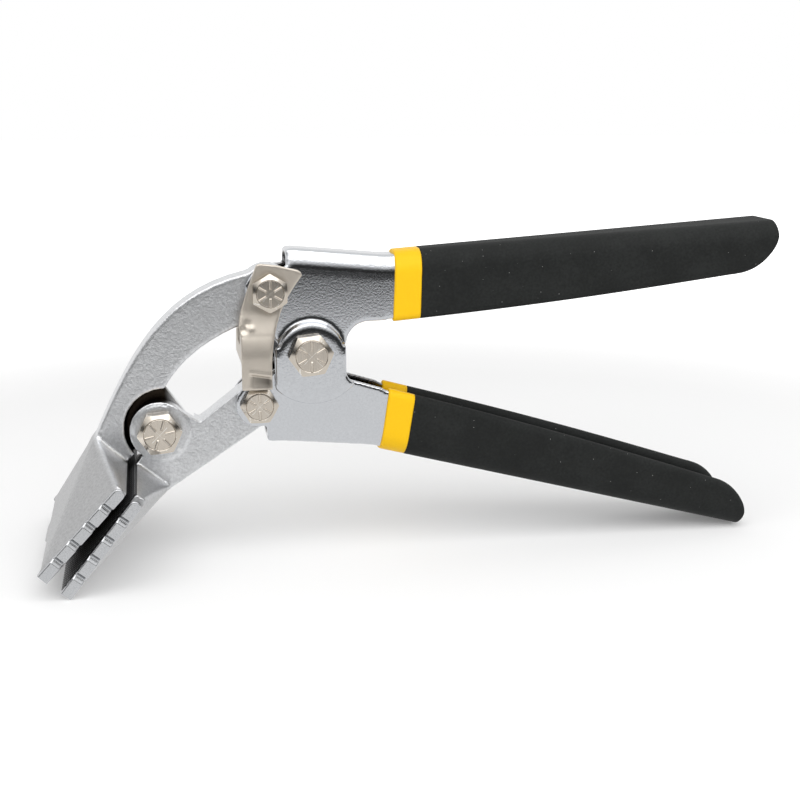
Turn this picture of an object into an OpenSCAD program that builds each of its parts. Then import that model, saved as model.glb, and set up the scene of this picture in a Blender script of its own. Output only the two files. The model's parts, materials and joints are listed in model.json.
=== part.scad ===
// Offset hand seamer: bent-jaw sheet-metal pliers with two channel handles and a four-bar compound action.
// Frame: X along the tool towards the handle ends, Y across the jaws, Z up from the table it stands on.
// Inside the modules x counts from the jaw pivot, and the last lines shift the tool to its middle.

/* [Jaws] */
// Width of both jaws across the tool
jaw_w = 70; // [60:1:90]
// Depth of the gripping faces, from tip to inner end
jaw_depth = 31.75; // [28:0.25:36]
// Raised pads along each side edge, which mark the depth
pad_count = 5; // [3:1:6]
// Width of the round notch between two pads
pad_gap = 2; // [1:0.1:2.4]
// Height of a pad over the side of the jaw
pad_rise = 0.9; // [0.5:0.1:1.5]
// Thickness of a jaw at its side edges and tip
edge_t = 3.2; // [2.6:0.1:4]
// Height of the neck where the arm runs into the jaw
neck_h = 11.8; // [9:0.1:13]
// Distance from the jaw pivot to the inner end of the gripping faces
pad_in = 12.75; // [12.5:0.05:14]
// Thickness of the jaw arms
arm_t = 9; // [8:0.1:9]
// Slope of the lower gripping face
lower_face_deg = 51.2; // [49:0.1:53]
// Angle between the two gripping faces at rest
face_open_deg = 4.27; // [4.2:0.01:6]

/* [Linkage] */
// Upper link pivot, ahead of the jaw pivot
upper_link_x = 31.4; // [30:0.1:33]
// Upper link pivot, over the jaw pivot
upper_link_up = 39.2; // [38:0.1:40]
// Lower link pivot, ahead of the jaw pivot
lower_link_x = 28; // [27:0.1:29]
// Lower link pivot, over the jaw pivot
lower_link_up = 7; // [6:0.1:8]
// Handle pivot, ahead of the jaw pivot
handle_pivot_x = 42.5; // [42:0.1:43.5]
// Handle pivot, over the jaw pivot
handle_pivot_up = 21.5; // [21:0.1:22]

/* [Handles] */
// Sheet thickness of the channel handles
sheet_t = 2; // [1.6:0.1:2]
// Outer radius of the bend between web and flange
bend_r = 5.1; // [2.2:0.1:5.1]
// Length of the upper handle behind its bend
upper_len = 116; // [100:1:130]
// Length of the lower handle behind its bend
lower_len = 118; // [100:1:130]
// Height of the upper handle behind its bend
upper_h = 18.3; // [16:0.1:19]
// Height of the lower handle behind its bend
lower_h = 17.3; // [15:0.1:18]
// Height of the upper handle near its end
upper_end_h = 12.8; // [11:0.1:14]
// Height of the lower handle near its end
lower_end_h = 11.2; // [10:0.1:14]
// Half the width of a handle at its end
handle_end_w = 11; // [9:0.1:12]
// Thickness of the dipped coat on the grips
coat_t = 0.9; // [0.6:0.1:1.4]
// Length of the coloured band before each grip
band_len = 7.5; // [6:0.5:12]

/* [Fasteners] */
// Width across flats of the pivot bolts' heads
pivot_af = 11.11; // [10:0.01:12]
// Diameter of the pivot bolts
pivot_d = 6.35; // [6:0.05:6.5]
// Width across flats of the link bolts' heads
link_af = 9.53; // [8:0.01:10]
// Diameter of the link bolts
link_d = 4.8; // [4:0.1:5]

/* [Latch and spring] */
// Thickness of the latch strap
latch_t = 1.5; // [1.2:0.1:1.5]
// Wire diameter of the opening spring
wire_d = 1.4; // [1:0.1:1.4]
// Whole turns of the opening spring
spring_turns = 3; // [2:1:3]

/* [Hidden] */
$fn = 64;

// Gripping faces: each stands half a millimetre off the plane through the jaw pivot
face_n = 0.5;
jaw_tip = pad_in + jaw_depth;
pad_pitch = jaw_depth / pad_count;
plate_w = jaw_w - 2 * pad_rise;
upper_face_deg = lower_face_deg - face_open_deg;

// Pivots in the plane of the tool, as [x, z]; the lower jaw's tip edge stands on the table
jaw_pivot_z = jaw_tip * sin(lower_face_deg) + (face_n + edge_t) * cos(lower_face_deg);
jaw_pivot = [0, jaw_pivot_z];
upper_link = jaw_pivot + [upper_link_x, upper_link_up];
lower_link = jaw_pivot + [lower_link_x, lower_link_up];
handle_pivot = jaw_pivot + [handle_pivot_x, handle_pivot_up];

// Round ends of the arms, and the half-lap joint at the jaw pivot
boss_r = 8.4;
boss_top_r = 7.2;
boss_slope_h = 1.2;
recess_r = 10.3;
front_recess_r = 11.2;
front_recess_at = [1.5, 0.9];
boss_rise = 0.4;
neck_gap = 0.6;
lower_back = 1.35;
lap_gap = 0.2;
upper_tail_r = 7.1;
lower_tail_r = 6.2;
lower_arm_deg = 36.5;

// Fits: running fit on a pivot, and the open pivot of the linkage in the upper jaw
run_gap = 0.05;
open_pivot_gap = 0.6;
face_gap = 0.05;

// Layers from the middle outwards: arm, flange, joggled ear, latch strap
flange_in = arm_t / 2 + 0.1;
flange_out = flange_in + sheet_t;
ear_in = flange_out + 0.15;
ear_out = ear_in + sheet_t;
strap_in = flange_out + 0.15;
strap_out = strap_in + latch_t;

// Handle pivot ears: ring of the joggle, round ear of the upper handle, ear of the lower handle
joggle_in_r = 7.8;
joggle_out_r = 9.4;
joggle_at = [0.5, -0.7];
upper_ear_r = 15.2;
upper_ear_mid = [1.1, 0.7];
upper_ear_left = 9.9;
upper_ear_right = 10.3;
ear_flare = [13.4, -5.6];
lower_ear_r = 6.8;
link_ear_r = 6.5;
joggle_c = handle_pivot + joggle_at;

// Bends of the two handles on the outside of the web, and the slopes of the webs behind and before them
upper_bend = [64.9, 85.3];
upper_front = [36.4, 88.05];
upper_slope = 3.55;
lower_bend = [60.6, 29.9];
lower_front = [30.4, 32.8];
tip_reach = [lower_len + coat_t, coat_t];
lower_slope = asin(lower_bend.y / norm(tip_reach)) - atan(coat_t / tip_reach.x);
tip_r = 13.6;
flare_deg = atan((handle_end_w - flange_out) / upper_len);
half_web = 12;
flange_bow = 0.9;
upper_band_from = 2.4;
lower_band_from = 2.3;
band_tilt = 6;

// Bolt heads and lock nuts
pivot_head_h = 4.2;
upper_link_head_h = 3.7;
link_head_h = 3.2;
hex_rim = 0.47;
hex_chamfer_deg = 25;
tick_count = 6;
tick_w = 0.5;
tick_rise = 0.2;

// Parts of a lock nut, as shares of the thread diameter and of the width across flats
nut_h = 1.15;
nut_collar_h = 0.35;
nut_insert_h = 0.28;
nut_collar_r = 0.46;
nut_insert_r = 0.36;
nut_lip = 0.3;
thread_gap = 0.02;
jaw_seat = arm_t / 2 + boss_rise;

// Latch: step to the lower strap, which stands clear of the lower link bolt's head
latch_low_in = flange_out + link_head_h + 0.45;
latch_low_out = latch_low_in + latch_t;
latch_step = [64.2, 70.5];
latch_back_top = 80.5;
latch_bottom = 49.2;
latch_back_bottom = 56.2;
latch_notch_bottom = 60.5;
latch_left = 23.1;

// Opening spring: coil round the handle pivot, one leg along each web
sleeve_r = 5.6;
coil_r = 7;
coil_pitch = wire_d + 0.5;
leg_up_deg = 39;
leg_up_len = 29;
leg_down_deg = -42;
leg_down_len = 29;

// Middle of the tool along X, from the upper jaw's tip to the upper grip's end
x_low = -jaw_tip * cos(upper_face_deg) - (face_n + edge_t) * sin(upper_face_deg);
tip_c = [upper_len - tip_r, tip_r - upper_end_h];
x_high = upper_bend.x + tip_c.x * cos(upper_slope) - tip_c.y * sin(upper_slope) + tip_r + coat_t;
tool_shift = -(x_low + x_high) / 2;

// Point of a cubic curve from a to d with the handles b and c
function curve_point(a, b, c, d, t) =
    pow(1 - t, 3) * a + 3 * t * pow(1 - t, 2) * b + 3 * t * t * (1 - t) * c + pow(t, 3) * d;

// Points of that curve in equal steps
function curve(a, b, c, d, steps) = [for (i = [0 : steps]) curve_point(a, b, c, d, i / steps)];

// The same points from the far end
function reversed(list) = [for (i = [len(list) - 1 : -1 : 0]) list[i]];

// Directions in the tool's plane: along an angle and square to it
function along(deg) = [cos(deg), sin(deg)];
function across(deg) = [-sin(deg), cos(deg)];

// Point of a jaw in the tool's plane: s towards the tip, n out of the gripping face
function upper_jaw_point(s, n) = jaw_pivot - s * along(upper_face_deg) + n * across(upper_face_deg);
function lower_jaw_point(s, n) = jaw_pivot - s * along(lower_face_deg) - n * across(lower_face_deg);

// Outline in the tool's plane, as thick as y0 to y1
module slab(y0, y1) {
    translate([0, y1, 0]) rotate([90, 0, 0]) linear_extrude(y1 - y0) children();
}

// The same slab on both sides of the middle
module slabs(y0, y1) {
    slab(y0, y1) children();
    slab(-y1, -y0) children();
}

// Round bar across the tool at a point of its plane
module bar(p, r, y0, y1) {
    translate([p.x, y0, p.y]) rotate([-90, 0, 0]) cylinder(r = r, h = y1 - y0);
}

// Jaw with its depth pads: x towards the tip, z out of the gripping face; its shoulder lies back of the pads
module jaw_head(back) {
    shoulder = pad_in - back;
    hull() {
        translate([shoulder, -plate_w / 2, face_n]) cube([jaw_depth + back, plate_w, edge_t]);
        translate([shoulder, -arm_t / 2, face_n]) cube([1, arm_t, neck_h]);
    }
    difference() {
        union() {
            translate([pad_in + edge_t / 2, -jaw_w / 2, face_n]) cube([jaw_depth - edge_t / 2, jaw_w, edge_t]);
            bar([pad_in + edge_t / 2, face_n + edge_t / 2], edge_t / 2, -jaw_w / 2, jaw_w / 2);
        }
        for (i = [1 : pad_count - 1], side = [-1, 1])
            translate([pad_in + i * pad_pitch, side * jaw_w / 2, 0])
                cylinder(d = pad_gap, h = face_n + 2 * edge_t);
    }
}

// Curved upper arm from the neck to the upper link, with the lug at the jaw pivot
module upper_arm() {
    neck_out = upper_jaw_point(pad_in, face_n + neck_h);
    neck_in = upper_jaw_point(pad_in, face_n + neck_gap);
    window = jaw_pivot + [1.7, 12];
    tail_top = upper_link + [0, upper_tail_r];
    tail_low = upper_link - [0, upper_tail_r];
    outer = curve(neck_out, jaw_pivot + [-6.6, 23], jaw_pivot + [2.4, 39], jaw_pivot + [25.4, 44], 14);
    inner = curve(window, jaw_pivot + [5.9, 19], jaw_pivot + [11.9, 25], jaw_pivot + [25.4, 30.2], 10);
    lug_side = jaw_pivot + [6.8, 5];
    polygon(concat(outer, [tail_top, tail_low], reversed(inner), [lug_side, jaw_pivot, neck_in]));
    translate(jaw_pivot) circle(boss_r);
    translate(upper_link) circle(upper_tail_r);
}

// Straight lower arm from the neck to the lower link, with the boss at the jaw pivot
module lower_arm() {
    neck_out = lower_jaw_point(pad_in, face_n + neck_h);
    neck_in = lower_jaw_point(pad_in, face_n);
    side = lower_tail_r * across(lower_arm_deg);
    valley = jaw_pivot + [11.4, 2.1];
    boss_side = jaw_pivot + [5.8, 5.7];
    polygon([neck_in, neck_out, lower_link - side, lower_link + side, valley, boss_side, jaw_pivot]);
    translate(jaw_pivot) circle(boss_r);
    translate(lower_link) circle(lower_tail_r);
}

// Raised boss round the jaw pivot, from the middle to the seat of the bolt or nut, with a sloping rim
module boss() {
    straight = jaw_seat - boss_slope_h;
    translate([jaw_pivot.x, 0, jaw_pivot.y]) rotate([-90, 0, 0]) {
        cylinder(r = boss_r, h = straight);
        translate([0, 0, straight]) cylinder(r1 = boss_r, r2 = boss_top_r, h = boss_slope_h);
    }
}

// Upper jaw: its lug fills the far half of the lap joint
module upper_jaw() {
    color("silver") difference() {
        union() {
            translate([jaw_pivot.x, 0, jaw_pivot.y]) rotate([0, 180 - upper_face_deg, 0])
                mirror([0, 0, 1]) jaw_head(0);
            slab(-arm_t / 2, arm_t / 2) upper_arm();
            boss();
        }
        bar(jaw_pivot + front_recess_at, front_recess_r, -jaw_w, lap_gap / 2);
        bar(jaw_pivot, pivot_d / 2 + run_gap, -jaw_w, jaw_w);
        bar(upper_link, link_d / 2 + open_pivot_gap, -jaw_w, jaw_w);
    }
}

// Lower jaw: its boss fills the near half of the lap joint
module lower_jaw() {
    color("silver") difference() {
        union() {
            translate([jaw_pivot.x, 0, jaw_pivot.y]) rotate([0, 180 - lower_face_deg, 0]) jaw_head(lower_back);
            slab(-arm_t / 2, arm_t / 2) lower_arm();
            mirror([0, 1, 0]) boss();
        }
        bar(jaw_pivot, recess_r, -lap_gap / 2, jaw_w);
        bar(jaw_pivot, pivot_d / 2 + run_gap, -jaw_w, jaw_w);
        bar(lower_link, link_d / 2 + run_gap, -jaw_w, jaw_w);
    }
}

// Square with its lower left corner at p and its upper left corner rounded
module round_corner(p, w, h, r) {
    translate(p) square([w, h - r]);
    translate(p + [r, 0]) square([w - r, h]);
    translate(p + [r, h - r]) circle(r);
}

// Half section of a channel, [y, z]: flange on the left, web on top, grown by g on every side
module half_section(depth, g) {
    side = -flange_out - g;
    inner = -flange_in + g;
    difference() {
        round_corner([side, -depth], half_web + 2 * g, depth + g, bend_r + g);
        round_corner([inner, -depth - 1], half_web, depth + 1 - sheet_t - g, max(bend_r - sheet_t - g, 0.1));
    }
}

// That half section drawn along x from x0 to x1
module half_channel(x0, x1, depth, g) {
    translate([x0, 0, 0]) rotate([90, 0, 90]) linear_extrude(x1 - x0) half_section(depth, g);
}

// Channel with parallel flanges, before the bend
module front_channel(x0, x1, depth) {
    half_channel(x0, x1, depth, 0);
    mirror([0, 1, 0]) half_channel(x0, x1, depth, 0);
}

// Side outline of a handle behind its bend, [x, z], grown by g, with a quarter round at the tip
module grip_outline(length, high, end_h, g) {
    c = [length - tip_r, tip_r - end_h];
    tip = [for (a = [90 : -7.5 : 0]) c + (tip_r + g) * [sin(a), -cos(a)]];
    edge = [for (t = [0.9 : -0.1 : 0])
        [-10 + t * (c.x + 10), -high + t * (high - end_h) - flange_bow * sin(180 * t) - g]];
    polygon(concat([[-10, 9], [length + g, 9]], tip, edge));
}

// Flared channel behind the bend, from x0 to the tip, grown by g
module grip_channel(x0, length, high, end_h, g) {
    intersection() {
        union() {
            rotate([0, 0, -flare_deg]) half_channel(x0, length + 9, 30, g);
            mirror([0, 1, 0]) rotate([0, 0, -flare_deg]) half_channel(x0, length + 9, 30, g);
        }
        slab(-jaw_w, jaw_w) grip_outline(length, high, end_h, g);
    }
}

// Coat round the channel from x0 to x1, or to the tip where x1 lies past it; its ends lean a little
module coat(x0, x1, length, high, end_h) {
    difference() {
        intersection() {
            grip_channel(-9, length, high, end_h, coat_t);
            rotate([0, band_tilt, 0]) translate([x0, -jaw_w, -40]) cube([x1 - x0, 2 * jaw_w, 80]);
        }
        grip_channel(-10, length, high, end_h, 0);
    }
}

// Places what follows at the bend of the upper handle, with its web on top
module on_upper_handle() {
    translate([upper_bend.x, 0, upper_bend.y]) rotate([0, -upper_slope, 0]) children();
}

// Places what follows at the bend of the lower handle, with its web below
module on_lower_handle() {
    translate([lower_bend.x, 0, lower_bend.y]) rotate([0, lower_slope, 0]) mirror([0, 0, 1]) children();
}

// Upper handle's flange before the bend: round the upper link and over the joggle of its ear
module upper_flange() {
    fillet = handle_pivot + [16.9, 2];
    fillet_r = 6.3;
    difference() {
        union() {
            polygon([upper_front, upper_bend, upper_bend + [0.5, -upper_h], fillet + [0, fillet_r],
                fillet, fillet - [fillet_r, 0], joggle_c + [-joggle_out_r + 0.4, 3],
                upper_link - [link_ear_r, 3], upper_link + [-link_ear_r, 2], upper_link + [-1, link_ear_r],
                upper_link + [5, link_ear_r]]);
            translate(upper_link) circle(link_ear_r);
        }
        translate(joggle_c) circle(joggle_in_r);
        translate(fillet) circle(fillet_r);
    }
}

// Round ear of the upper handle, joggled outwards by one sheet, with a flared corner behind
module upper_ear() {
    beyond = 2 * upper_ear_r;
    difference() {
        union() {
            difference() {
                translate(handle_pivot + upper_ear_mid) circle(upper_ear_r);
                translate(handle_pivot + [-upper_ear_r, 2]) square(beyond);
            }
            translate(joggle_c) circle(joggle_out_r);
        }
        translate(handle_pivot - [upper_ear_left + beyond, beyond]) square([beyond, 2 * beyond]);
        translate(handle_pivot + [upper_ear_right, ear_flare.y]) square(beyond);
        translate(handle_pivot + ear_flare) circle(ear_flare.x - upper_ear_right);
    }
}

// Wall of the joggle between flange and ear
module joggle() {
    intersection() {
        difference() {
            translate(joggle_c) circle(joggle_out_r);
            translate(joggle_c) circle(joggle_in_r);
        }
        translate(joggle_c + [-joggle_out_r, 3]) square([joggle_out_r + upper_ear_right, joggle_out_r]);
    }
}

// Upper handle: a pressed sheet channel
module upper_handle() {
    front_slope = atan((upper_front.y - upper_bend.y) / (upper_bend.x - upper_front.x));
    color("gainsboro") difference() {
        union() {
            intersection() {
                translate([upper_bend.x, 0, upper_bend.y]) rotate([0, front_slope, 0])
                    front_channel(-50, 1.5, 45);
                slab(-jaw_w, jaw_w) upper_flange();
            }
            slabs(ear_in, ear_out) upper_ear();
            slabs(flange_in, ear_out) joggle();
            on_upper_handle() grip_channel(-0.6, upper_len, upper_h, upper_end_h, 0);
        }
        bar(upper_link, link_d / 2 + face_gap, -jaw_w, jaw_w);
        bar(handle_pivot, pivot_d / 2 + run_gap, -jaw_w, jaw_w);
    }
}

// Lower handle's flange before the bend: ears at the lower link and at the handle pivot
module lower_flange() {
    neck = across(45);
    polygon([lower_front, lower_bend, lower_bend + [4.3, lower_h - 0.5], handle_pivot + [10.9, -8.2],
        handle_pivot + [lower_ear_r, 0], handle_pivot + [-6.5, -2], lower_link + 5 * neck, lower_link,
        [lower_front.x - 0.2, lower_link.y - 7.2]]);
    translate(lower_link) circle(link_ear_r);
    translate(handle_pivot) circle(lower_ear_r);
}

// Lower handle: a pressed sheet channel
module lower_handle() {
    front_slope = atan((lower_front.y - lower_bend.y) / (lower_bend.x - lower_front.x));
    color("gainsboro") difference() {
        union() {
            intersection() {
                translate([lower_bend.x, 0, lower_bend.y]) rotate([0, front_slope, 0]) mirror([0, 0, 1])
                    front_channel(-50, 1.5, 60);
                slab(-jaw_w, jaw_w) lower_flange();
            }
            on_lower_handle() grip_channel(-0.6, lower_len, lower_h, lower_end_h, 0);
        }
        bar(lower_link, link_d / 2 + face_gap, -jaw_w, jaw_w);
        bar(handle_pivot, pivot_d / 2 + face_gap, -jaw_w, jaw_w);
    }
}

// Dipped grips, one on each handle
module upper_grip() {
    color("#2a2b2a") on_upper_handle()
        coat(upper_band_from + band_len, upper_len + 20, upper_len, upper_h, upper_end_h);
}
module lower_grip() {
    color("#2a2b2a") on_lower_handle()
        coat(lower_band_from + band_len, lower_len + 20, lower_len, lower_h, lower_end_h);
}

// Coloured bands, dipped before the grips
module upper_band() {
    color("gold") on_upper_handle()
        coat(upper_band_from, upper_band_from + band_len, upper_len, upper_h, upper_end_h);
}
module lower_band() {
    color("gold") on_lower_handle()
        coat(lower_band_from, lower_band_from + band_len, lower_len, lower_h, lower_end_h);
}

// Front of the latch strap, pivoted at the upper link; its lower end stands over the lower link bolt
module latch_strap() {
    right = curve(upper_link + [9.3, 4.4], upper_link + [2, -5], upper_link + [-0.3, -14],
        [latch_left + 8.5, latch_bottom], 12);
    left = curve([latch_left - 0.5, latch_step[0] + 2.8], upper_link + [-8.4, -5], upper_link + [-6, 1],
        upper_link + [-3.4, 7.6], 8);
    foot = [[latch_left, latch_bottom], [latch_left, latch_step[0]]];
    top = [for (p = [[-2.4, 7.9], [2.5, 7.3], [8, 5.9], [9, 5.3]]) upper_link + p];
    polygon(concat(top, right, foot, left));
}

// Strap on the near side from z0 to z1, led outwards by a slope below the upper link bolt
module strap(z0, z1) {
    intersection() {
        slab(-jaw_w, 0) latch_strap();
        rotate([90, 0, 90]) linear_extrude(60)
            polygon([[-strap_in, z1], [-strap_out, z1], [-strap_out, latch_step[1]],
                [-latch_low_out, latch_step[0]], [-latch_low_out, z0], [-latch_low_in, z0],
                [-latch_low_in, latch_step[0]], [-strap_in, latch_step[1]]]);
    }
}

// Latch: a bent strap on each side, joined by a web that is notched for the upper arm and the lower ears
module latch() {
    arm_room = flange_in + 0.5;
    web_h = latch_step[0] - latch_back_bottom;
    color("#c8bba4") difference() {
        union() {
            strap(latch_bottom, 99);
            mirror([0, 1, 0]) strap(latch_back_bottom, latch_back_top);
            translate([latch_left, -latch_low_out, latch_back_bottom])
                cube([latch_t, 2 * latch_low_out, web_h]);
        }
        translate([0, -arm_room, latch_notch_bottom]) cube([60, 2 * arm_room, 60]);
        bar(upper_link, link_d / 2 + run_gap, -jaw_w, jaw_w);
    }
}

// Points along the opening spring: leg on the upper web, coil, leg on the lower web
function in_plane(p, y) = [p.x, y, p.y];
function coil_place(deg, turned) =
    in_plane(handle_pivot + coil_r * along(deg), coil_pitch * turned / 360 - spring_half);
coil_sweep = 360 * spring_turns + leg_down_deg - leg_up_deg + 180;
spring_half = coil_pitch * coil_sweep / 720;
coil_steps = round(coil_sweep / 45);
coil_points = [for (i = [0 : coil_steps])
    coil_place(leg_up_deg + 90 + i * coil_sweep / coil_steps, i * coil_sweep / coil_steps)];
leg_up_end = coil_points[0] + leg_up_len * in_plane(along(leg_up_deg), 0);
leg_down_end = coil_points[coil_steps] + leg_down_len * in_plane(along(leg_down_deg), 0);
spring_points = concat([leg_up_end], coil_points, [leg_down_end]);

// Least gap between turns, on points at least half a turn apart
turn_gaps = [for (i = [0 : coil_steps], j = [0 : coil_steps]) if (j >= i + 4)
    norm(coil_points[i] - coil_points[j]) - wire_d];
echo(spring_least_gap = min(turn_gaps));

function unit(v) = v / norm(v);

// Six-sided tube along a list of points, with flat ends
module wire(points, d) {
    last = len(points) - 1;
    rings = [for (i = [0 : last])
        let (ahead = unit(points[min(i + 1, last)] - points[max(i - 1, 0)]),
            side = unit(cross(ahead, [0, 1, 0])), up = cross(side, ahead))
        for (k = [0 : 5]) points[i] + d / 2 * (cos(60 * k) * side + sin(60 * k) * up)];
    walls = [for (i = [0 : last - 1], k = [0 : 5])
        let (a = 6 * i + k, b = 6 * i + (k + 1) % 6)
        for (face = [[a, b, a + 6], [b, b + 6, a + 6]]) face];
    start = [for (k = [1 : 4]) [0, k + 1, k]];
    end = [for (k = [1 : 4]) [6 * last, 6 * last + k, 6 * last + k + 1]];
    polyhedron(rings, concat(walls, start, end));
}

// Opening spring: pushes the handles apart
module opening_spring() {
    color("dimgray") wire(spring_points, wire_d);
}

// Sleeve that holds the lower handle's flanges apart and carries the coil
module spring_sleeve() {
    color("gray") difference() {
        bar(handle_pivot, sleeve_r, -flange_in + face_gap, flange_in - face_gap);
        bar(handle_pivot, pivot_d / 2 + face_gap, -jaw_w, jaw_w);
    }
}

// Hexagonal prism across the tool, with its rim chamfered at the end y1
module hexagon(p, af, y0, y1, turn) {
    h = y1 - y0;
    rim_r = hex_rim * af;
    drop = (af - rim_r) * tan(hex_chamfer_deg);
    translate([p.x, y0, p.y]) rotate([-90, 0, 0]) intersection() {
        rotate(turn) cylinder(d = af / cos(30), h = h, $fn = 6);
        rotate_extrude() polygon([[0, 0], [af, 0], [af, h - drop], [rim_r, h], [0, h]]);
    }
}

// Bolt across the tool with its head in front: seat_front and seat_back are the faces that it clamps
module bolt(p, d, af, head_h, seat_front, seat_back, turn) {
    head_y = seat_front + face_gap;
    mirror([0, 1, 0]) hexagon(p, af, head_y, head_y + head_h, turn);
    for (i = [0 : tick_count - 1])
        translate([p.x, -head_y - head_h, p.y]) rotate([0, 30 + turn + i * 360 / tick_count, 0])
            translate([0.13 * af, -tick_rise, -tick_w / 2]) cube([0.28 * af, 2 * tick_rise, tick_w]);
    bar(p, d / 2, -head_y - head_h / 2, seat_back + nut_h * d + 1);
}

// Lock nut behind seat_back, with a round collar for its insert
module lock_nut(p, d, af, seat_back, turn) {
    y0 = seat_back + face_gap;
    top = y0 + nut_h * d;
    body_top = top - nut_collar_h * d;
    difference() {
        union() {
            hexagon(p, af, y0, body_top, turn);
            bar(p, nut_collar_r * af, body_top - 1, top);
        }
        bar(p, d / 2 + thread_gap, y0 - 1, top + 1);
        bar(p, nut_insert_r * af, top - nut_insert_h * d - thread_gap, top - nut_lip);
    }
}

// Ring of nylon inside the collar, which grips the thread
module insert_ring(p, d, af, seat_back) {
    top = seat_back + face_gap + nut_h * d;
    difference() {
        bar(p, nut_insert_r * af - thread_gap, top - nut_insert_h * d, top - nut_lip - thread_gap);
        bar(p, d / 2 + thread_gap, top - d, top + 1);
    }
}

// Jaw pivot
module jaw_pivot_bolt() {
    color("#c8bba4") bolt(jaw_pivot, pivot_d, pivot_af, pivot_head_h, jaw_seat, jaw_seat, -5);
}
module jaw_pivot_nut() {
    color("#c8bba4") lock_nut(jaw_pivot, pivot_d, pivot_af, jaw_seat, 20);
}
module jaw_pivot_insert() {
    color("white") insert_ring(jaw_pivot, pivot_d, pivot_af, jaw_seat);
}

// Handle pivot
module handle_pivot_bolt() {
    color("#c8bba4") bolt(handle_pivot, pivot_d, pivot_af, pivot_head_h, ear_out, ear_out, -6);
}
module handle_pivot_nut() {
    color("#c8bba4") lock_nut(handle_pivot, pivot_d, pivot_af, ear_out, 5);
}
module handle_pivot_insert() {
    color("white") insert_ring(handle_pivot, pivot_d, pivot_af, ear_out);
}

// Upper link
module upper_link_bolt() {
    color("#c8bba4") bolt(upper_link, link_d, link_af, upper_link_head_h, strap_out, strap_out, 30);
}
module upper_link_nut() {
    color("#c8bba4") lock_nut(upper_link, link_d, link_af, strap_out, 14);
}
module upper_link_insert() {
    color("white") insert_ring(upper_link, link_d, link_af, strap_out);
}

// Lower link
module lower_link_bolt() {
    color("#c8bba4") bolt(lower_link, link_d, link_af, link_head_h, flange_out, flange_out, 0);
}
module lower_link_nut() {
    color("#c8bba4") lock_nut(lower_link, link_d, link_af, flange_out, 9);
}
module lower_link_insert() {
    color("white") insert_ring(lower_link, link_d, link_af, flange_out);
}

// Whole tool, shifted so that its middle is at the origin
module placed() {
    translate([tool_shift, 0, 0]) children();
}
placed() upper_jaw();
placed() lower_jaw();
placed() upper_handle();
placed() lower_handle();
placed() upper_grip();
placed() lower_grip();
placed() upper_band();
placed() lower_band();
placed() latch();
placed() opening_spring();
placed() spring_sleeve();
placed() jaw_pivot_bolt();
placed() jaw_pivot_nut();
placed() jaw_pivot_insert();
placed() handle_pivot_bolt();
placed() handle_pivot_nut();
placed() handle_pivot_insert();
placed() upper_link_bolt();
placed() upper_link_nut();
placed() upper_link_insert();
placed() lower_link_bolt();
placed() lower_link_nut();
placed() lower_link_insert();
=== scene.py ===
import json
import math

import bmesh
import bpy
import numpy as np
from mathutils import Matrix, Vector


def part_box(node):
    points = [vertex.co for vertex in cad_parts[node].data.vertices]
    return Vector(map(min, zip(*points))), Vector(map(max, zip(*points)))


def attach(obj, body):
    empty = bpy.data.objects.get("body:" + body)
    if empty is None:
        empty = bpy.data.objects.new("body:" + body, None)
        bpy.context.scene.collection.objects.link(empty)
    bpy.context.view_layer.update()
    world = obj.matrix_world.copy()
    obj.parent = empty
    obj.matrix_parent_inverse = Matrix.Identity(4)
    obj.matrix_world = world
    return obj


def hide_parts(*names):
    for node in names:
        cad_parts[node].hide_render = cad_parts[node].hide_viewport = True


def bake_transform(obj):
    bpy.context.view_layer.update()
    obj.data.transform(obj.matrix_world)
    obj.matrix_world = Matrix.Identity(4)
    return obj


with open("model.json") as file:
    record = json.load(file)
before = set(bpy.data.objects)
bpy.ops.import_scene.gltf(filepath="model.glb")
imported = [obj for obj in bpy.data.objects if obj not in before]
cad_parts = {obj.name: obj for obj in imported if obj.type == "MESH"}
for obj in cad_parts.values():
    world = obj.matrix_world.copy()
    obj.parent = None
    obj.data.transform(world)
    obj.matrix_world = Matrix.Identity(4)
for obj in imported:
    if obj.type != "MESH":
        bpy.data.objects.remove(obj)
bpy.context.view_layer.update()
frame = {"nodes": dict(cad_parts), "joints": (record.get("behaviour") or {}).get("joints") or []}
MM = 0.001

# Jaws
# Two forged jaws with bent arms, lapped half into half at their pivot. They are plated and left with
# a fine blasted grain and rubbed brighter along the edges, with painted shade in the recess round the
# pivot and a lighter painted shade over the head past the shoulder.
pivots = {joint["name"]: np.array(joint["pos_m"]) / MM for joint in frame["joints"]}
jaw_pivot = pivots["upper_jaw_turn"]
face_slope = {"upper_jaw": 46.93, "lower_jaw": 51.2}
face_side = {"upper_jaw": -1, "lower_jaw": 1}
face_from = {"upper_jaw": 12.75, "lower_jaw": 11.4}
arm_half = 4.5
arm_skin = 0.3
plate_half = 34.1
boss_rise = 0.4
boss_foot = 8.8
boss_top = 8.3
# Near black tone of painted shade, and the share of it painted over the jaw head past the shoulder.
shade_tone = (0.035, 0.026, 0.019)
head_shade = 0.42


def read_points(piece):
    """The piece's vertices as an array, one row each, in millimetres."""
    flat = np.empty(3 * len(piece.data.vertices))
    piece.data.vertices.foreach_get("co", flat)
    return flat.reshape(-1, 3) / MM


def write_points(piece, places):
    """Puts an array in millimetres back into the piece's vertices."""
    piece.data.vertices.foreach_set("co", (places * MM).ravel())
    piece.data.update()


def ease(piece, passes, share):
    """Each point moves half way to the mean of its neighbours, some times over; a share below one, for
    all points or for each, moves it less."""
    places = read_points(piece)
    ends = np.empty(2 * len(piece.data.edges), int)
    piece.data.edges.foreach_get("vertices", ends)
    first, second = ends.reshape(-1, 2).T
    neighbours = np.bincount(ends, minlength=len(places))
    step = 0.5 * np.broadcast_to(share, len(places))[:, None]
    for _ in range(passes):
        total = np.stack([np.bincount(first, places[second, k], len(places))
                          + np.bincount(second, places[first, k], len(places)) for k in range(3)], 1)
        places = places + step * (total / neighbours[:, None] - places)
    write_points(piece, places)


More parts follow.
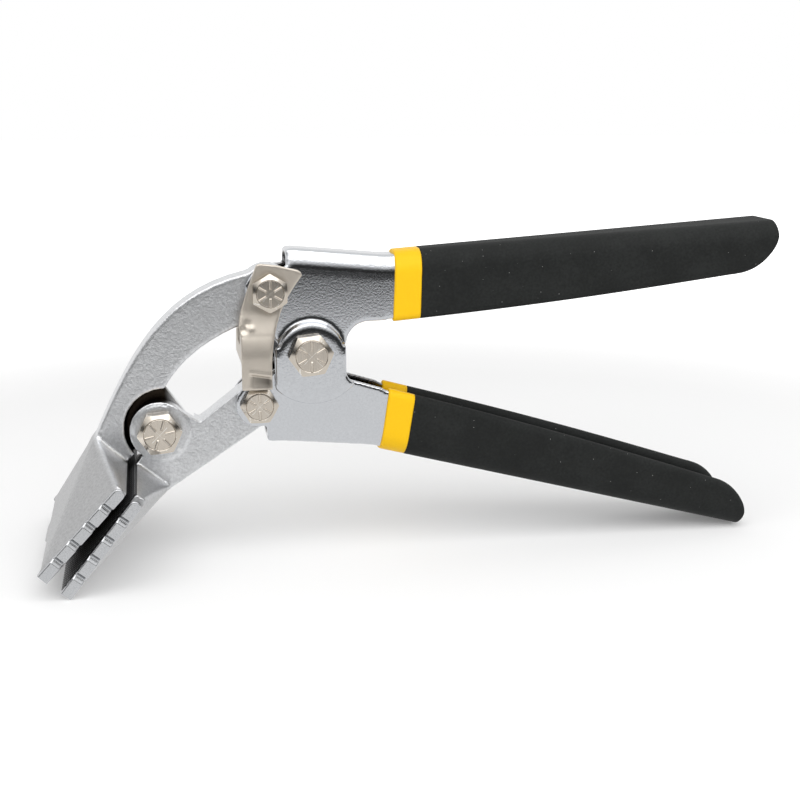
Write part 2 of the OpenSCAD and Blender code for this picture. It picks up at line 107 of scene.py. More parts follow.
def smooth(mesh):
    """Shades a mesh smooth all over."""
    mesh.polygons.foreach_set("use_smooth", np.ones(len(mesh.polygons), bool))


def rounded_copy(node, name, voxel, passes):
    """Copy of a solid with the soft edges of a forging or a pressing: the solid is rebuilt on cubes
    of the given size in mm, and its points are then eased."""
    mesh = frame["nodes"][node].data.copy()
    shell = bmesh.new()
    shell.from_mesh(mesh)
    bmesh.ops.remove_doubles(shell, verts=shell.verts, dist=1e-6)
    shell.to_mesh(mesh)
    shell.free()
    piece = bpy.data.objects.new(name, mesh)
    bpy.context.scene.collection.objects.link(piece)
    cubes = piece.modifiers.new("cubes", "REMESH")
    cubes.mode = "VOXEL"
    cubes.voxel_size = voxel * MM
    bpy.context.view_layer.update()
    ready = piece.evaluated_get(bpy.context.evaluated_depsgraph_get())
    piece.data = bpy.data.meshes.new_from_object(ready)
    piece.modifiers.clear()
    piece.data.materials.clear()
    ease(piece, passes, 1.0)
    smooth(piece.data)
    return piece


def ramp(value, nothing, full):
    """Share from 0 where the value is at nothing to 1 where it is at full, straight between."""
    return np.clip((value - nothing) / (full - nothing), 0, 1)


def mark(piece, name, share):
    """Keeps a share for each point with the mesh, for its material to read."""
    piece.data.attributes.new(name, "FLOAT", "POINT").data.foreach_set("value", share)


def on_jaw(points, jaw):
    """Distance of points from the jaw pivot along the gripping face towards the tip, and behind the face."""
    angle = math.radians(face_slope[jaw])
    x, _, z = (points - jaw_pivot).T
    along = -x * math.cos(angle) - z * math.sin(angle)
    return along, face_side[jaw] * (x * math.sin(angle) - z * math.cos(angle))


def soften_head(jaw, node):
    """The back of a jaw and its shoulders run softly into each other, and the arm into the shoulders by a
    fillet. The edges are cut back to the plate, for the pads to stand on."""
    points = read_points(jaw)
    along, deep = on_jaw(points, node)
    aside = np.abs(points[:, 1])
    shoulder = face_from[node]
    off_face = ramp(deep, 1.2, 2.7)
    off_arm_and_edge = ramp(aside, 6.0, 7.4) * ramp(aside, 33.2, 31.6)
    back = off_face * off_arm_and_edge * ramp(along, shoulder - 2, shoulder - 1.4)
    at_shoulder = ramp(np.abs(along - shoulder), 2.6, 1.6)
    beside_arm = ramp(aside, 3.9, 4.4) * ramp(aside, 9.0, 7.0)
    fillet = at_shoulder * beside_arm * ramp(deep, 0.8, 1.6)
    ease(jaw, 110, back)
    ease(jaw, 14, fillet)
    points = read_points(jaw)
    points[:, 1] = np.clip(points[:, 1], -plate_half, plate_half)
    write_points(jaw, points)


def round_boss(jaw):
    """Raises the front of the lower arm to the height of the boss within a circle about the pivot, on the
    side away from the recess."""
    points = read_points(jaw)
    x, y, z = (points - jaw_pivot).T
    away_from_recess = ramp(0.8 * x - z, -6, -4)
    rise = boss_rise * ramp(np.hypot(x, z), boss_foot, boss_top) * away_from_recess
    points[:, 1] = np.where(y < arm_skin - arm_half, np.minimum(y, -arm_half - rise), y)
    write_points(jaw, points)


def paint_jaw_shade(jaw, node):
    """Marks painted shade: in full in the round recess about the pivot, and a share of it over the head past
    the shoulder.
    """
    points = read_points(jaw)
    x, y, z = (points - jaw_pivot).T
    reach = np.hypot(x, z)
    along, _ = on_jaw(points, node)
    ring = ramp(reach, 7.4, 7.8) * ramp(reach, 12.8, 12.0)
    # Painted shade: the recess between the lapped halves is marked in full, the head past the shoulder by a
    # share.
    recess = ring * ramp(np.abs(y), 4.3, 3.9) * ramp(x, 5, 2)
    film = head_shade * ramp(along, face_from[node] - 0.5, face_from[node] + 1.5)
    mark(jaw, "painted_shade", np.maximum(recess, film))


def connect(tree, made, sockets):
    """Sets sockets of a shader node, each to a value or to the output of another node."""
    for key, value in sockets.items():
        if isinstance(value, bpy.types.NodeSocket):
            tree.links.new(value, made.inputs[key])
        else:
            made.inputs[key].default_value = value


def wire(tree, kind, sockets=None, **settings):
    """New shader node with its settings made and its sockets set."""
    made = tree.nodes.new(kind)
    for key, value in settings.items():
        setattr(made, key, value)
    connect(tree, made, sockets or {})
    return made


def noise(tree, place, scale, detail, roughness=0.5):
    """Cloudy share over a place, with scale lumps to the metre and finer ones in them by detail."""
    sockets = {"Vector": place, "Scale": scale, "Detail": detail, "Roughness": roughness}
    return wire(tree, "ShaderNodeTexNoise", sockets).outputs["Fac"]


def span(tree, value, low, high, to_low=0.0, to_high=1.0, **settings):
    """Number that goes from to_low to to_high while the value goes from low to high."""
    sockets = {"Value": value, "From Min": low, "From Max": high, "To Min": to_low, "To Max": to_high}
    return wire(tree, "ShaderNodeMapRange", sockets, **settings).outputs[0]


def tones(tree, share, first, second):
    """Colour between two tones by a share; a tone is a triple or the output of another node."""
    ends = [tone if isinstance(tone, bpy.types.NodeSocket) else (*tone, 1) for tone in (first, second)]
    sockets = {"Fac": share, "Color1": ends[0], "Color2": ends[1]}
    return wire(tree, "ShaderNodeMixRGB", sockets).outputs["Color"]


def bumps(tree, height, strength, deep):
    """Surface direction over bumps of the given depth in mm."""
    sockets = {"Height": height, "Strength": strength, "Distance": deep * MM}
    return wire(tree, "ShaderNodeBump", sockets).outputs["Normal"]


def new_finish(name):
    """New node material and its surface shader, with the shader's output already joined."""
    material = bpy.data.materials.new(name)
    material.use_nodes = True
    tree = material.node_tree
    return material, tree, tree.nodes["Principled BSDF"]


def plated_steel(name, colour, worn, roughness, spread, grain, deep, mottle, rubbed_from):
    """Plated steel: two tones in soft patches and in a grain of the given size and depth in mm, rubbed
    convex edges, found from how far the surface bulges there, and painted shade where the piece is marked."""
    material, tree, shader = new_finish(name)
    place = wire(tree, "ShaderNodeTexCoord").outputs["Object"]
    patches = noise(tree, place, scale=160.0, detail=4.0)
    fine = noise(tree, place, scale=1 / (grain * MM), detail=3.0, roughness=0.65)
    speck = span(tree, fine, low=0.35, high=0.65)
    bulge = wire(tree, "ShaderNodeNewGeometry").outputs["Pointiness"]
    edge = span(tree, bulge, low=rubbed_from, high=rubbed_from + 0.1)
    # Painted shade: where a piece is marked, its colour goes to the near black shade tone.
    painted_shade = wire(tree, "ShaderNodeAttribute", attribute_name="painted_shade").outputs["Fac"]
    tone = tones(tree, patches, colour, [0.9 * c for c in colour])
    grained = tones(tree, speck, tone, [(1 - mottle) * c for c in colour])
    shade_painted = tones(tree, painted_shade, tones(tree, edge, grained, worn), shade_tone)
    gloss = span(tree, fine, low=0.3, high=0.7, to_low=roughness - spread, to_high=roughness + spread)
    connect(tree, shader, {"Base Color": shade_painted, "Roughness": gloss, "Metallic": 1.0,
                           "Normal": bumps(tree, fine, strength=1.0, deep=deep)})
    return material


jaw_steel = plated_steel("jaw_steel", colour=(0.87, 0.88, 0.895), worn=(0.90, 0.91, 0.92), roughness=0.34,
                         spread=0.06, grain=0.7, deep=0.13, mottle=0.22, rubbed_from=0.56)
for node in ("upper_jaw", "lower_jaw"):
    jaw = rounded_copy(node, node + "_forging", voxel=0.42, passes=3)
    soften_head(jaw, node)
    if node == "lower_jaw":
        round_boss(jaw)
    paint_jaw_shade(jaw, node)
    jaw.data.materials.append(jaw_steel)
    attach(jaw, node)
    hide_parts(node)

# Knurled gripping faces
# The inner faces of the jaws carry crossing rows of small pyramids, with painted shade, near black,
# between them. They are cut into the forging, so each face lies on its jaw and moves with it.
pad_from = 12.75
face_to = 44.3
face_half = 33.8
face_off = 0.5
neck_ends = (8.2, face_from["lower_jaw"] + 0.4)
neck_sides = (-arm_half, -0.3)
knurl_pitch = 1.3
knurl_rise = 0.32
knurl_rim = -0.15
knurl_thick = 0.3
points_to_crest = 3


def surface(name, grid, closed=False, caps=False):
    """Piece from an array of points, rows by columns, in millimetres: neighbouring points make faces, each
    row closes on itself where the surface goes right round, and caps fill the first and last row."""
    rows, columns = grid.shape[:2]
    index = np.arange(rows * columns).reshape(rows, columns)
    lattice = np.concatenate([index, index[:, :1]], 1) if closed else index
    quads = np.stack([lattice[:-1, :-1], lattice[:-1, 1:], lattice[1:, 1:], lattice[1:, :-1]], -1)
    faces = quads.reshape(-1, 4).tolist()
    if caps:
        faces += [index[0, ::-1].tolist(), index[-1].tolist()]
    mesh = bpy.data.meshes.new(name)
    mesh.from_pydata((grid.reshape(-1, 3) * MM).tolist(), [], faces)
    smooth(mesh)
    piece = bpy.data.objects.new(name, mesh)
    bpy.context.scene.collection.objects.link(piece)
    return piece


def off_jaw(jaw, along, deep, y):
    """Grid of points from their distance along a gripping face, their depth behind it and their place
    across it, which is the way back from on_jaw."""
    angle = math.radians(face_slope[jaw])
    back = face_side[jaw] * deep
    x = jaw_pivot[0] - along * math.cos(angle) + back * math.sin(angle)
    z = jaw_pivot[2] - along * math.sin(angle) - back * math.cos(angle)
    return np.stack([x, y, z], -1)


def saw(value):
    """Wave that falls straight from 1 to 0 and rises again with each whole number."""
    return np.abs(value % 1 * 2 - 1)


def knurled_face(name, jaw, along_ends, across_ends):
    """Height field over a gripping face: at each point the lower of two saw waves that run along the
    diagonals, so their crests make pyramids. Its rim is sunk into the jaw, and it is backed by a sheet."""
    step = knurl_pitch * math.sqrt(0.5) / points_to_crest
    along = np.arange(*along_ends, step)
    across = np.arange(*across_ends, step)[::face_side[jaw]]
    s, y = np.meshgrid(along, across, indexing="ij")
    crest = np.minimum(saw((s + y) / math.sqrt(2) / knurl_pitch), saw((s - y) / math.sqrt(2) / knurl_pitch))
    rim = np.ones(s.shape, bool)
    rim[1:-1, 1:-1] = False
    rise = np.where(rim, knurl_rim, knurl_rise * crest)
    face = surface(name, off_jaw(jaw, s, face_off * np.clip(s / pad_from, 0, 1) - rise, y))
    mark(face, "crest", np.where(rim, 0, crest).ravel())
    backing = face.modifiers.new("backing", "SOLIDIFY")
    backing.thickness = knurl_thick * MM
    backing.offset = -1
    return face


def groove_shaded_steel(name):
    """Cut steel with painted shade in the grooves: near black there, and bare metal on the crests."""
    material, tree, shader = new_finish(name)
    place = wire(tree, "ShaderNodeTexCoord").outputs["Object"]
    stain = noise(tree, place, scale=700.0, detail=5.0)
    crest = wire(tree, "ShaderNodeAttribute", attribute_name="crest").outputs["Fac"]
    # Painted shade: near black in the knurl valleys, the stained metal tone on the crests.
    crest_metal = span(tree, crest, low=0.45, high=0.9)
    metal = tones(tree, stain, (0.75, 0.75, 0.76), (0.5, 0.5, 0.51))
    tone = tones(tree, crest_metal, (0.012, 0.012, 0.013), metal)
    connect(tree, shader, {"Base Color": tone, "Metallic": 0.3, "Roughness": 0.45})
    return material


knurl_steel = groove_shaded_steel("knurl_steel")
knurls = {
    "upper_jaw_knurl": ("upper_jaw", (face_from["upper_jaw"], face_to), (-face_half, face_half)),
    "lower_jaw_knurl": ("lower_jaw", (face_from["lower_jaw"], face_to), (-face_half, face_half)),
    "lower_neck_knurl": ("lower_jaw", neck_ends, neck_sides),
}
for name, (jaw, along_ends, across_ends) in knurls.items():
    knurl = knurled_face(name, jaw, along_ends, across_ends)
    knurl.data.materials.append(knurl_steel)
    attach(knurl, jaw)

# Depth pads
# Along both side edges of each jaw five pads stand a little proud, parted by grooves. They are forged
# with the jaw, ground flat and polished, and tell how deep the sheet lies in the jaws.
pad_count = 5
pad_tip = 44.5
pad_top = 35.1
pad_base = 33.4
pad_edge = 0.45
pad_step = 0.12
pad_side = {"near": -1, "far": 1}
pad_wide = {"near": 3.3, "far": 2.7}
groove_deep = 0.92
groove_mouth = 1.134
groove_floor = 0.168


def outward(piece):
    """Merges doubled points, as at poles, and turns every face outwards."""
    shell = bmesh.new()
    shell.from_mesh(piece.data)
    bmesh.ops.remove_doubles(shell, verts=shell.verts, dist=1e-7)
    bmesh.ops.recalc_face_normals(shell, faces=shell.faces)
    shell.to_mesh(piece.data)
    shell.free()
    return piece


def pad_row(name, jaw, side, wide):
    """Row of pads on one edge of a jaw as closed rings along it: each ring runs over the top, rounded at
    its edges, and back below. The top falls on straight walls to each groove, and the row begins in a
    half round."""
    begin = pad_from + wide / 2 * (1 - np.cos(np.linspace(0, math.pi / 2, 14)))
    along = np.concatenate([begin, np.arange(begin[-1] + pad_step, pad_tip - pad_edge, pad_step),
                            pad_tip - pad_edge * (1 - np.sin(np.linspace(0, math.pi / 2, 7)))])
    before = np.clip(pad_from + wide / 2 - along, 0, None)
    half = np.sqrt(np.clip((wide / 2) ** 2 - before ** 2, 0, None))[:, None]
    over = np.sin(np.linspace(-math.pi / 2, math.pi / 2, 25))
    inside = np.minimum(half * (1 - np.abs(over)), (pad_tip - along)[:, None])
    bevel = pad_edge - np.sqrt(np.clip(pad_edge ** 2 - np.clip(pad_edge - inside, 0, None) ** 2, 0, None))
    pitch = (pad_tip - pad_from) / pad_count
    nearest = np.round((along - pad_from) / pitch)
    off = np.abs((along - pad_from) / pitch - nearest) * pitch
    between = (nearest > 0) & (nearest < pad_count)
    sunk = np.where(between, groove_deep * ramp(off, groove_mouth, groove_floor), 0)
    top = pad_top - sunk[:, None] - bevel
    high = np.concatenate([top, np.full((len(along), 2), pad_base)], 1)
    deep = face_off + wide / 2 + half * np.concatenate([over, [1, -1]])
    return outward(surface(name, off_jaw(jaw, along[:, None], deep, side * high), closed=True, caps=True))


pad_steel = plated_steel("pad_steel", colour=(0.62, 0.63, 0.645), worn=(0.82, 0.83, 0.84), roughness=0.2,
                         spread=0.05, grain=0.35, deep=0.02, mottle=0.12, rubbed_from=0.53)
for jaw in ("upper_jaw", "lower_jaw"):
    for edge, side in pad_side.items():
        pads = pad_row(jaw + "_pads_" + edge, jaw, side, pad_wide[edge])
        pads.data.materials.append(pad_steel)
        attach(pads, jaw)

# Handles
# Two channels pressed from sheet and bright plated, with a slight orange-peel in the plating. The
# upper one is joggled outwards round the handle pivot, so that its ears pass over the lower one's.
handle_pivot = pivots["handle_squeeze"]
channels = {
    "upper": dict(nose=(36.4, 88.05), root=(64.9, 85.3), up=1, soft_from=0.0),
    "lower": dict(nose=(30.4, 32.8), root=(60.6, 29.9), up=-1, soft_from=7.0),
}
joggle_middle = handle_pivot + [0.5, 0, -0.7]
joggle_flat = 6.2
joggle_width = 3.2
joggle_bend = 0.05
# Share of painted shade on the inside of each channel.
channel_shade = 0.75


def web_point(place):
    """Point in the middle of a web, from its distance behind the jaw pivot and its height."""
    behind, high = place
    return np.array([jaw_pivot[0] + behind, jaw_pivot[1], high])


def below_web(points, channel):
    """Depth of points inside a channel, from the line of its web before the bend."""
    nose, root = web_point(channel["nose"]), web_point(channel["root"])
    lean = (nose[2] - root[2]) / (nose[0] - root[0])
    return channel["up"] * (root[2] + lean * (points[:, 0] - root[0]) - points[:, 2])


def soften_fold(handle, channel):
    """The fold between web and flanges is eased across, while each point keeps its place along the
    handle, fully so from a given distance behind the front edge."""
    points = read_points(handle)
    behind = points[:, 0] - web_point(channel["nose"])[0]
    ease(handle, 40, ramp(below_web(points, channel), 8.0, 6.5) * ramp(behind, -0.1, channel["soft_from"]))
    write_points(handle, np.column_stack([points[:, 0], read_points(handle)[:, 1:]]))


def shape_joggle(handle):
    """Round the handle pivot the ear falls back ever more towards the wall of the joggle, as drawn sheet
    does, with the square of the distance past a circle; edge and foot of the wall are eased."""
    points = read_points(handle)
    ring = np.hypot(points[:, 0] - joggle_middle[0], points[:, 2] - joggle_middle[2])
    aside = np.abs(points[:, 1])
    upper = ramp(points[:, 2] - joggle_middle[2], 0, 8)
    past = np.clip(ring - joggle_flat, 0, joggle_width)
    points[:, 1] -= np.sign(points[:, 1]) * joggle_bend * past ** 2 * upper * ramp(aside, 8.0, 8.6)
    write_points(handle, points)
    wall = ramp(ring, joggle_flat, 7.4) * ramp(ring, 11.2, 10.2) * ramp(aside, 5.6, 6.2)
    ease(handle, 5, wall * upper)


handle_steel = plated_steel("handle_steel", colour=(0.66, 0.675, 0.70), worn=(0.78, 0.79, 0.80),
                            roughness=0.11, spread=0.03, grain=0.6, deep=0.03, mottle=0.1, rubbed_from=0.56)
for name, channel in channels.items():
    body = name + "_handle"
    handle = rounded_copy(body, body + "_pressing", voxel=0.43, passes=3)
    points = read_points(handle)
    aside = np.abs(points[:, 1])
    # Painted shade: the inner faces of the channel, which lie in shade, are marked to take the dark tone.
    inside = ramp(aside, 5.0, 4.8) * ramp(below_web(points, channel) - 0.25 * aside, 1.2, 1.5)
    mark(handle, "painted_shade", channel_shade * inside)
    soften_fold(handle, channel)
    if name == "upper":
        shape_joggle(handle)
    handle.data.materials.append(handle_steel)
    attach(handle, body)
    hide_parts(body)

# Grips and bands
# Each handle is dipped in vinyl, first yellow and then black up to a line some way short of it, so the
# yellow shows as a band. The coat wraps the channel inside and out and rounds its free edges.
dips = {
    "upper": dict(slope=3.55, length=115.9, high=18.3, end=12.8, band=2.4),
    "lower": dict(slope=-14.24, length=118.0, high=17.3, end=11.2, band=2.3),
}
sheet_half = 1.0
coat = 0.9
grip_over = 0.05
lip = 0.5
band_full = 0.8
grip_full = 0.7
tip_gap = 0.001
web_half = 6.6
bend_mid = 4.1
flare = math.tan(math.radians(2.19))
flange_bow = 0.9
edge_lead = 10
deepest = 25
tip_round = 13.6
tip_deep = 3.2
band_length = 7.5
band_tilt = math.tan(math.radians(6.0))
tilt_to = 60
dust_grey = (0.35, 0.35, 0.34)


def edge_line(dip, thick):
    """Where the middle of the rolled edge of a coated flange runs: rows of distance along the handle and
    depth below the web, first a taper with a slight bow, then a round about the tip, all less the
    thickness."""
    centre = dip["length"] - tip_round
    share = np.linspace(0, 1, 70, endpoint=False)
    taper = dip["high"] + (dip["end"] - dip["high"]) * share + flange_bow * np.sin(math.pi * share)
    straight = np.stack([(centre + edge_lead) * share - edge_lead, taper + coat - thick], 1)
    deep = np.concatenate([thick + np.linspace(dip["end"] - sheet_half, tip_deep, 40),
                           tip_deep + thick * np.cos(np.radians(np.linspace(10, 90, 10)))])
    outer = tip_round + coat
    round_end = np.sqrt(np.clip(outer ** 2 - (deep - dip["end"] + tip_round) ** 2, 0, None))
    return np.concatenate([straight, np.stack([centre + round_end, deep - thick], 1)])


def channel_ring(along, depth, grown):
    """One closed ring round the coated channel at a distance along it: the middle line of the sheet from
    its rolled edge, up the flange, round the bend to the middle of the web and down again on the other
    side, offset to both sides by grown and closed by a round at each edge."""
    middle = web_half + flare * along - sheet_half
    bend = np.radians(np.linspace(0, 90, 24))
    flange = np.stack([np.full(40, -middle), np.linspace(-deepest, -sheet_half - bend_mid, 40)], 1)[:-1]
    corner = np.stack([-middle + bend_mid * (1 - np.cos(bend)),
                       -sheet_half - bend_mid * (1 - np.sin(bend))], 1)
    path = np.concatenate([flange, corner, [[0, -sheet_half]]])
    run = np.concatenate([[0], np.cumsum(np.linalg.norm(np.diff(path, axis=0), axis=1))])
    start = np.interp(-depth, path[:-1, 1], run[:-1])
    places = np.linspace(start, run[-1], 44)
    half = np.stack([np.interp(places, run, path[:, k]) for k in (0, 1)], 1)
    line = np.concatenate([half, (half * [-1, 1])[-2::-1]])
    ahead = np.gradient(line, axis=0)
    ahead /= np.linalg.norm(ahead, axis=1)[:, None]
    outer = np.stack([-ahead[:, 1], ahead[:, 0]], 1)
    cap = np.radians(np.linspace(0, 180, 9))[1:-1]
    far_cap = line[-1] + grown * (np.cos(cap)[:, None] * outer[-1] + np.sin(cap)[:, None] * ahead[-1])
    near_cap = line[0] - grown * (np.cos(cap)[:, None] * outer[0] + np.sin(cap)[:, None] * ahead[0])
    ring = np.concatenate([line + grown * outer, far_cap, (line - grown * outer)[::-1], near_cap])
    return np.column_stack([np.full(len(ring), along), ring])


def dipped_coat(name, dip, channel, start, stop, over):
    """Rings of the coated channel from start to stop along a handle. The coat swells from the sheet in
    a round lip at its front and ends flat behind, or closes in a full round at the tip."""
    thick = sheet_half + coat + over
    edge = edge_line(dip, thick)
    rows = [(start - over + lip * (1 - math.cos(turn)), thick - lip + lip * math.sin(turn))
            for turn in np.radians([0, 30, 60, 90])]
    if stop > dip["length"]:
        rows += [(x, thick + min(deep - tip_deep, 0) - tip_gap) for x, deep in edge if x > start + grip_full]
    else:
        rows += [(x, thick) for x in np.linspace(start + band_full, stop, 12)]
    edge = np.maximum(edge, [-edge_lead, tip_deep])
    grid = np.stack([channel_ring(x, np.interp(x, edge[:, 0], edge[:, 1]), grown) for x, grown in rows])
    grid[..., 0] += band_tilt * grid[..., 2] * np.clip((tilt_to - grid[..., 0]) / tilt_to, 0, 1)
    slope = math.radians(dip["slope"])
    x, y, z = np.moveaxis(grid, -1, 0)
    z = z * channel["up"]
    along, high = x * math.cos(slope) - z * math.sin(slope), x * math.sin(slope) + z * math.cos(slope)
    placed = np.stack([along, y, high], -1) + web_point(channel["root"])
    return outward(surface(name, placed, closed=True, caps=True))


def combine(tree, operation, first, second):
    """Number worked out from two others."""
    return wire(tree, "ShaderNodeMath", {0: first, 1: second}, operation=operation).outputs[0]


def dipped_vinyl(name, colour, mottle, roughness, specks):
    """Dipped vinyl: a tone clouded in small patches by the share mottle, a soft skin of low bumps, and
    where asked for sparse pale specks of dust caught in the skin."""
    material, tree, shader = new_finish(name)
    place = wire(tree, "ShaderNodeTexCoord").outputs["Object"]
    bloom = noise(tree, place, scale=90.0, detail=5.0)
    skin = noise(tree, place, scale=1400.0, detail=4.0)
    dust = wire(tree, "ShaderNodeTexVoronoi", {"Vector": place, "Scale": 380.0, "Randomness": 1.0})
    patch = span(tree, combine(tree, "MULTIPLY", bloom, skin), low=0.15, high=0.35)
    tone = tones(tree, patch, colour, [mottle * c for c in colour])
    spot = span(tree, dust.outputs["Distance"], low=0.025, high=0.05, to_low=specks, to_high=0.0)
    connect(tree, shader, {"Base Color": tones(tree, spot, tone, dust_grey), "Roughness": roughness,
                           "Specular IOR Level": 0.22, "Normal": bumps(tree, skin, strength=0.6, deep=0.03)})
    return material


black_vinyl = dipped_vinyl("black_vinyl", (0.011, 0.012, 0.0116), mottle=1.6, roughness=0.72, specks=0.8)
yellow_vinyl = dipped_vinyl("yellow_vinyl", (0.93, 0.545, 0.004), mottle=0.97, roughness=0.45, specks=0.0)
for name, dip in dips.items():
    body = name + "_handle"
    band_end = dip["band"] + band_length
    band = dipped_coat(name + "_band_dip", dip, channels[name], dip["band"], band_end, 0.0)
    band.data.materials.append(yellow_vinyl)
    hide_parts(name + "_band")
    grip = dipped_coat(name + "_grip_dip", dip, channels[name], band_end, dip["length"] + coat, grip_over)
    grip.data.materials.append(black_vinyl)
    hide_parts(name + "_grip")
    for piece in (band, grip):
        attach(piece, body)

# Bolts and lock nuts
# Four hex bolts hold the linkage, with lock nuts behind. Heads and nuts are nickel plated, slightly
# warm, and each head carries six raised ticks round its middle.
upper_link = pivots["latch_swing"]
lower_link = pivots["lower_jaw_turn"]
pivot_size = dict(flats=11.11, thick=6.35)
link_size = dict(flats=9.53, thick=4.8)
bolts = {
    "jaw_pivot": dict(pivot_size, at=jaw_pivot, body="lower_jaw", high=4.2, turn=5, ticks=12),
    "handle_pivot": dict(pivot_size, at=handle_pivot, body="lower_handle", high=4.2, turn=6, ticks=30),
    "upper_link": dict(link_size, at=upper_link, body="upper_handle", high=3.7, turn=30, ticks=30),
    "lower_link": dict(link_size, at=lower_link, body="lower_handle", high=3.2, turn=0, ticks=30),
}
corner_share = 0.568
rim_share = 0.425
rim_drop = 0.12
rim_from = 0.96
groove_sunk = 0.16
groove_at = 0.94
groove_wide = 0.022
head_chamfer = math.tan(math.radians(30))
tick_ends = (0.13, 0.405)
tick_fade = 0.25
tick_rise = 0.3
tick_wide = 0.34
solid_tick = 0.2
shank_slack = 0.02
shank_lap = 0.3
thread_length = 11
thread_deep = 0.3
point_length = 0.6
point_taper = 0.25
flat_angle = 28
nickel_tones = ((0.70, 0.64, 0.56), (0.60, 0.545, 0.475))
nickel_rubbed = (0.88, 0.85, 0.79)
nickel_spread = 0.04
# Dark tone of painted shade for hollow corners and marked places on nickel.
nickel_shade_tone = (0.05, 0.042, 0.034)


def hexagon(angle, flats, turn):
    """Distance from the middle to the side of a hexagon in the given directions, with its corners
    cut back a little."""
    lean = (angle - math.radians(turn)) % (math.pi / 3) - math.pi / 6
    return np.minimum(flats / 2 / np.cos(lean), corner_share * flats)


def polar_piece(name, radius, height, angle, at, facing):
    """Surface from rings of radius and height over the angles round a bolt's axis, standing on the
    point at, its height running towards -Y for a head and +Y for a nut."""
    x = at[0] + radius * np.cos(angle)
    z = at[2] + radius * np.sin(angle)
    y = at[1] + facing * height
    return outward(surface(name, np.stack([x, np.broadcast_to(y, x.shape), z], -1), closed=True))


def bolt_head(name, bolt, seat):
    """Hex head as rings: a flat top with raised ticks and a fine groove round it, a chamfer out to the
    hexagon, its sides, and the underside in to the shank."""
    angle = np.linspace(0, 2 * math.pi, 480, endpoint=False)
    flats, high = bolt["flats"], bolt["high"]
    rim = rim_share * flats
    side = hexagon(angle, flats, bolt["turn"])
    inward = np.linspace(0, 1, 64)[:, None]
    top_r = rim * inward * np.ones_like(angle)
    lean = (angle - math.radians(bolt["ticks"]) + math.pi / 6) % (math.pi / 3) - math.pi / 6
    off = np.abs(top_r * np.sin(lean))
    begin, end = (share * flats for share in tick_ends)
    reach = ramp(top_r, begin, begin + tick_fade) * ramp(top_r, end, end - tick_fade)
    top_h = high + tick_rise * reach * np.sqrt(np.clip(1 - (off / tick_wide) ** 2, 0, 1))
    top_h -= rim_drop * ramp(inward, rim_from, 1.0)
    top_h -= groove_sunk * np.exp(-((inward - groove_at) / groove_wide) ** 2)
    out = np.linspace(0, 1, 7)[1:, None]
    chamfer_r = rim + (side - rim) * out
    chamfer_h = high - rim_drop - (chamfer_r - rim) * head_chamfer
    down = np.array([0.04, 0.12, 0.5, 0.96, 1.0])[:, None]
    wall_r = side * np.array([1.0, 1.0, 1.0, 1.0, 0.985])[:, None]
    wall_h = chamfer_h[-1] * (1 - down)
    shank = bolt["thick"] / 2
    under_r = np.concatenate([0.5 * (side + shank)[None], np.full((1, len(angle)), shank)])
    radius = np.concatenate([top_r, chamfer_r, wall_r, under_r])
    height = np.concatenate([top_h, chamfer_h, wall_h, np.zeros((2, len(angle)))])
    return polar_piece(name, radius, height, angle, bolt["at"] + [0, -seat, 0], -1)


def bolt_shank(name, bolt, start, stop):
    """Shank from the head to past the nut, its last stretch threaded: the radius falls and rises once
    each pitch along the length and once each turn, and tapers at the point."""
    angle = np.linspace(0, 2 * math.pi, 48, endpoint=False)
    along = np.linspace(start, stop, 130)[:, None]
    pitch = 0.2 * bolt["thick"]
    threaded = ramp(along, stop - thread_length, stop - thread_length + 1)
    thread = thread_deep * threaded * saw(along / pitch - angle / (2 * math.pi))
    radius = bolt["thick"] / 2 - shank_slack - thread
    radius = radius * (1 - point_taper * ramp(along, stop - point_length, stop))
    radius = np.concatenate([radius, np.zeros((1, len(angle)))])
    height = np.concatenate([along, [[stop]]]) * np.ones_like(angle)
    return polar_piece(name, radius, height, angle, bolt["at"], 1)


def joined(first, second):
    """Puts the second piece's mesh into the first."""
    shell = bmesh.new()
    shell.from_mesh(first.data)
    shell.from_mesh(second.data)
    shell.to_mesh(first.data)
    shell.free()
    smooth(first.data)
    bpy.data.objects.remove(second)
    return first


def crisp(piece):
    """Marks the sharp edges, so that flats stay flat beside them."""
    piece.data.set_sharp_from_angle(angle=math.radians(flat_angle))
    return piece


def warm_nickel(name, roughness, metallic, shade_share):
    """Nickel plate with a warm cast, faint draw lines along it, edges that are rubbed brighter and a
    share of painted shade in the hollow corners, both found from how far the surface bulges there, and
    painted shade where the piece is marked."""
    material, tree, shader = new_finish(name)
    place = wire(tree, "ShaderNodeTexCoord").outputs["Object"]
    drawn = wire(tree, "ShaderNodeMapping", {"Vector": place, "Scale": (1.0, 1.0, 0.12)}).outputs["Vector"]
    lines = noise(tree, drawn, scale=2600.0, detail=4.0)
    patches = noise(tree, place, scale=240.0, detail=3.0)
    bulge = wire(tree, "ShaderNodeNewGeometry").outputs["Pointiness"]
    edge = span(tree, bulge, low=0.53, high=0.63)
    # Painted shade in hollow corners, and painted shade where the piece is marked.
    corner = span(tree, bulge, low=0.40, high=0.48, to_low=shade_share, to_high=0.0)
    marked = wire(tree, "ShaderNodeAttribute", attribute_name="shade_share").outputs["Fac"]
    rubbed = tones(tree, edge, tones(tree, patches, *nickel_tones), nickel_rubbed)
    nickel_shaded = tones(tree, combine(tree, "MAXIMUM", corner, marked), rubbed, nickel_shade_tone)
    gloss = span(tree, lines, low=0.3, high=0.7, to_low=roughness - nickel_spread,
                 to_high=roughness + nickel_spread)
    connect(tree, shader, {"Base Color": nickel_shaded, "Roughness": gloss, "Metallic": metallic,
                           "Normal": bumps(tree, lines, strength=0.5, deep=0.003)})
    return material


